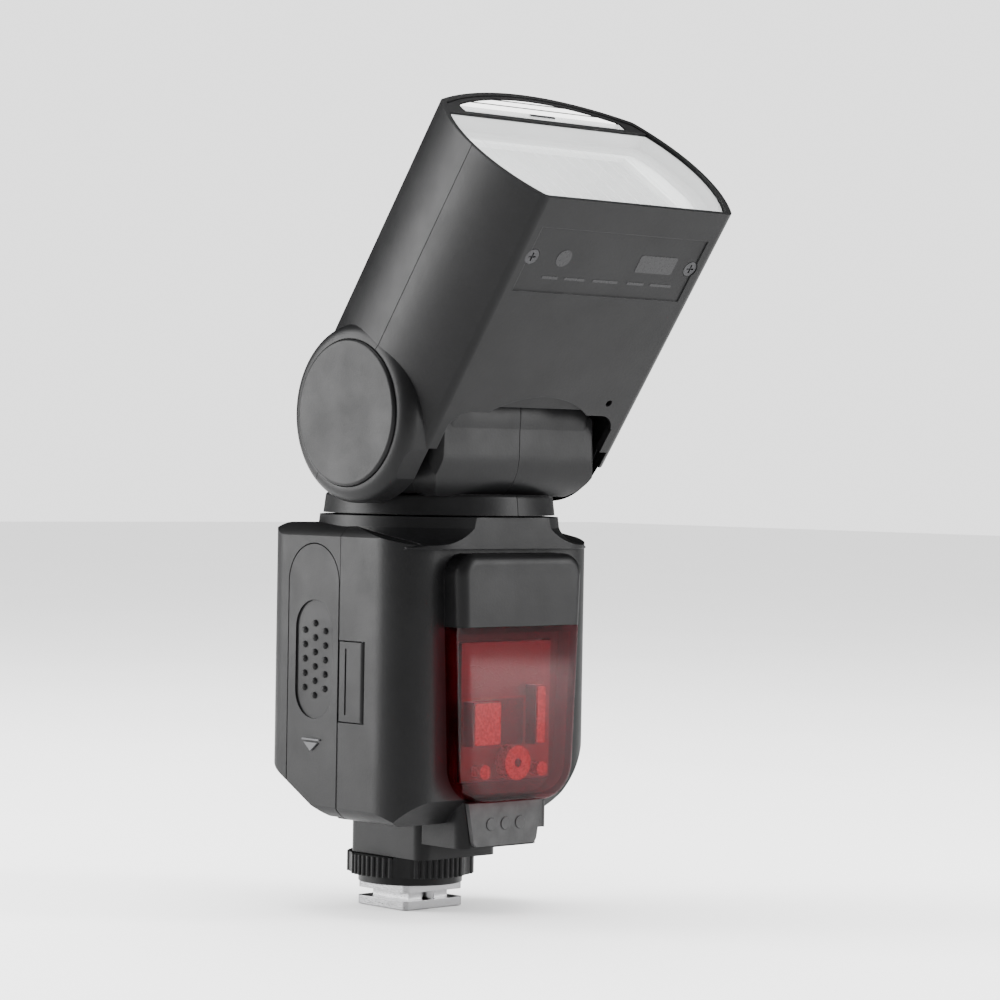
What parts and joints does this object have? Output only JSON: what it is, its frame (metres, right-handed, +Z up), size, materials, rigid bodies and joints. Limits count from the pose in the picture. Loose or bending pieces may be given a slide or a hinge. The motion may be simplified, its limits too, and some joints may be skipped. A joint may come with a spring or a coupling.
{
  "type": "speedlight flash",
  "caption": "Battery speedlight flash with a tilting and swivelling zoom head, red front window and a locking hot-shoe foot.",
  "frame": {"origin": "centre of the hot-shoe foot's underside", "axes": "+Z up, away from the camera; the flash faces -Y; the battery door is on the -X side"},
  "size_m": [0.0748, 0.0955, 0.1934],
  "materials": {
    "black_plastic": "fine satin grain",
    "button_plastic": "soft satin",
    "black_rubber": "matte moulded rubber",
    "inner_plastic": "moulded",
    "foot_metal": "satin chrome",
    "contact_metal": "gold plated",
    "screw_metal": "dark steel",
    "red_window": "clear red, polished",
    "lamp_lens": "moulded red lens",
    "board": "solder mask",
    "cell_wrap": "printed sleeve",
    "display": "grey-green display glass",
    "clear_window": "polished",
    "capacitor_can": "sleeve",
    "copper_core": "enamelled copper",
    "clear_lens": "ribbed clear acrylic",
    "white_card": "matt white",
    "reflector_metal": "bright aluminium",
    "tube_glass": "clear quartz"
  },
  "bodies": {
    "base": {"foot_plate": "foot_metal", "foot_contacts": "contact_metal", "contact_block": "inner_plastic", "body_front_shell": "black_plastic", "body_rear_shell": "black_plastic", "shoulder_collar": "black_plastic", "front_window": "red_window", "assist_board": "board", "assist_lenses": "lamp_lens", "power_socket": "inner_plastic", "base_block": "black_plastic", "case_screws": "screw_metal", "battery_box": "inner_plastic", "battery_cells": "cell_wrap", "battery_springs": "contact_metal", "door_hinge_pin": "screw_metal", "main_board": "board", "display_module": "display", "display_window": "clear_window", "main_capacitor": "capacitor_can", "step_up_transformer": "copper_core", "side_sockets": "inner_plastic"},
    "lock_collar": {"pressure_plate": "foot_metal"},
    "lock_wheel": {"lock_ring": "black_plastic"},
    "lock_pin": {"lock_pin": "foot_metal"},
    "socket_flap": {"socket_cover": "black_rubber"},
    "side_flap": {"side_port_cover": "black_rubber"},
    "door_leaf": {"door_hinge_leaf": "black_plastic"},
    "door": {"battery_door": "black_plastic", "door_contact_strip": "contact_metal"},
    "dial": {"control_dial": "button_plastic"},
    "set_key": {"set_button": "button_plastic"},
    "power_slider": {"power_switch": "button_plastic"},
    "mode_key": {"mode_button": "button_plastic"},
    "test_key": {"test_button": "button_plastic"},
    "function_key_1": {"function_button_1": "button_plastic"},
    "function_key_2": {"function_button_2": "button_plastic"},
    "function_key_3": {"function_button_3": "button_plastic"},
    "function_key_4": {"function_button_4": "button_plastic"},
    "neck": {"neck_left_half": "black_plastic", "neck_right_half": "black_plastic", "tilt_axles": "screw_metal", "friction_washers": "screw_metal", "pan_bearing_ring": "inner_plastic"},
    "head": {"head_top_shell": "black_plastic", "head_bottom_shell": "black_plastic", "pivot_cap_left": "black_plastic", "pivot_cap_right": "black_plastic", "head_screws": "screw_metal", "front_bezel": "black_plastic", "fresnel_lens": "clear_lens", "guide_rods": "screw_metal", "zoom_motor": "screw_metal", "head_board": "board"},
    "panel_slider": {"wide_panel": "clear_lens"},
    "card_slider": {"bounce_card": "white_card"},
    "zoom_slide": {"reflector": "reflector_metal", "flash_tube": "tube_glass", "zoom_carriage": "inner_plastic"},
    "zoom_screw": {"lead_screw": "screw_metal"}
  },
  "joints": [
    {"name": "lock_ring_turn", "type": "hinge", "parent": "lock_collar", "child": "lock_wheel", "pos_m": [0, 0, 0.0103], "axis": [0, 0, -1], "range_deg": [0, 301]},
    {"name": "lock_collar_drop", "type": "slide", "parent": "base", "child": "lock_collar", "axis": [0, 0, -1], "range_m": [0, 0.001]},
    {"name": "lock_pin_drop", "type": "slide", "parent": "base", "child": "lock_pin", "axis": [0, 0, -1], "range_m": [0, 0.00205]},
    {"name": "socket_flap_open", "type": "hinge", "parent": "base", "child": "socket_flap", "pos_m": [0.0123, -0.033, 0.024], "axis": [0, 0, 1], "range_deg": [0, 110]},
    {"name": "side_flap_open", "type": "hinge", "parent": "base", "child": "side_flap", "pos_m": [0.0308, -0.0114, 0.05], "axis": [0, 0, 1], "range_deg": [0, 95]},
    {"name": "door_swing", "type": "hinge", "parent": "base", "child": "door_leaf", "pos_m": [-0.0304, -0.017, 0.0555], "axis": [0, 0, 1], "range_deg": [0, 95]},
    {"name": "door_slide", "type": "slide", "parent": "door_leaf", "child": "door", "axis": [0, 0, -1], "range_m": [0, 0.005]},
    {"name": "dial_turn", "type": "hinge", "parent": "base", "child": "dial", "pos_m": [0, 0.019, 0.0456], "axis": [0, -1, 0], "continuous": true},
    {"name": "set_press", "type": "slide", "parent": "base", "child": "set_key", "axis": [0, -1, 0], "range_m": [0, 0.0005], "stiffness_N_per_m": 600, "springref_m": -0.0004},
    {"name": "power_slide", "type": "slide", "parent": "base", "child": "power_slider", "axis": [1, 0, 0], "range_m": [0, 0.004]},
    {"name": "mode_press", "type": "slide", "parent": "base", "child": "mode_key", "axis": [0, -1, 0], "range_m": [0, 0.0006], "stiffness_N_per_m": 600, "springref_m": -0.0004},
    {"name": "test_press", "type": "slide", "parent": "base", "child": "test_key", "axis": [0, -1, 0], "range_m": [0, 0.0006], "stiffness_N_per_m": 600, "springref_m": -0.0004},
    {"name": "function_press_1", "type": "slide", "parent": "base", "child": "function_key_1", "axis": [0, -1, 0], "range_m": [0, 0.0006], "stiffness_N_per_m": 600, "springref_m": -0.0004},
    {"name": "function_press_2", "type": "slide", "parent": "base", "child": "function_key_2", "axis": [0, -1, 0], "range_m": [0, 0.0006], "stiffness_N_per_m": 600, "springref_m": -0.0004},
    {"name": "function_press_3", "type": "slide", "parent": "base", "child": "function_key_3", "axis": [0, -1, 0], "range_m": [0, 0.0006], "stiffness_N_per_m": 600, "springref_m": -0.0004},
    {"name": "function_press_4", "type": "slide", "parent": "base", "child": "function_key_4", "axis": [0, -1, 0], "range_m": [0, 0.0006], "stiffness_N_per_m": 600, "springref_m": -0.0004},
    {"name": "head_pan", "type": "hinge", "parent": "base", "child": "neck", "pos_m": [0, -0.00834, 0.097], "axis": [0, 0, 1], "range_deg": [-180, 180]},
    {"name": "head_tilt", "type": "hinge", "parent": "neck", "child": "head", "pos_m": [0, -0.01704, 0.11812], "axis": [1, 0, 0], "range_deg": [-35, 55]},
    {"name": "wide_panel_pull", "type": "slide", "parent": "head", "child": "panel_slider", "axis": [0, -0.5736, 0.8192], "range_m": [0, 0.03]},
    {"name": "bounce_card_pull", "type": "slide", "parent": "head", "child": "card_slider", "axis": [0, -0.5736, 0.8192], "range_m": [0, 0.034]},
    {"name": "zoom_travel", "type": "slide", "parent": "head", "child": "zoom_slide", "axis": [0, -0.5736, 0.8192], "range_m": [0, 0.012]},
    {"name": "zoom_screw_turn", "type": "hinge", "parent": "head", "child": "zoom_screw", "pos_m": [0.0294, -0.03343, 0.15547], "axis": [0, -0.5736, 0.8192], "range_deg": [0, 4400]}
  ],
  "couplings": [
    {"joint": "lock_ring_turn", "follows": "lock_collar_drop", "rad_per_m": 5236},
    {"joint": "lock_pin_drop", "follows": "lock_collar_drop", "ratio": 2},
    {"joint": "zoom_screw_turn", "follows": "zoom_travel", "rad_per_m": 6283.2}
  ]
}
